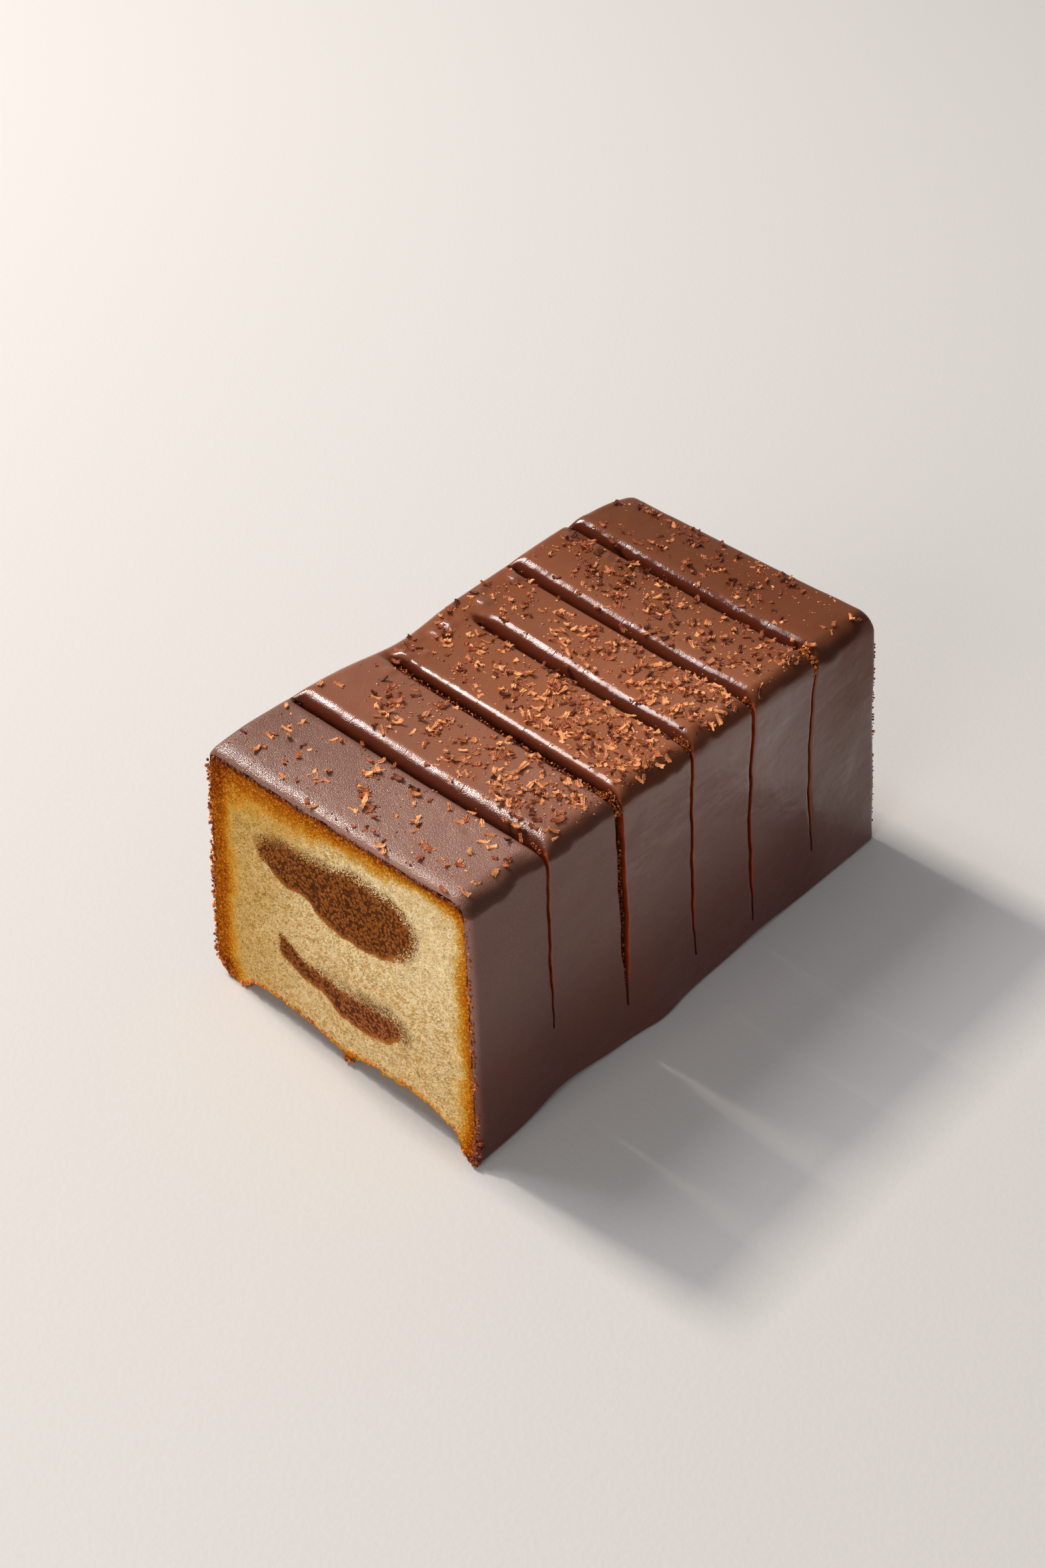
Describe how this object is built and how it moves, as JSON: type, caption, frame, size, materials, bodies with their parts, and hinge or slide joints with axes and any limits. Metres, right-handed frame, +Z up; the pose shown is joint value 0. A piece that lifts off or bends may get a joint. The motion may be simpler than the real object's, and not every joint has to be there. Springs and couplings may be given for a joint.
{
  "type": "marble loaf cake",
  "caption": "Loaf of marbled sponge cut square at both ends, under a chocolate coat crossed by knife slits and strewn with chocolate shavings.",
  "frame": {"origin": "middle of the bounding box's base, on the surface that the loaf stands on", "axes": "+Y along the loaf towards its rear cut, +Z up, +X to the side that the knife slits run down"},
  "size_m": [0.0822, 0.1356, 0.0664],
  "materials": {
    "cake": "matte open crumb, browned at the crust, with cocoa marbling",
    "glaze": "set milk chocolate, satin to glossy"
  },
  "bodies": {
    "root": {"cake": "cake", "glaze": "glaze"}
  },
  "joints": []
}
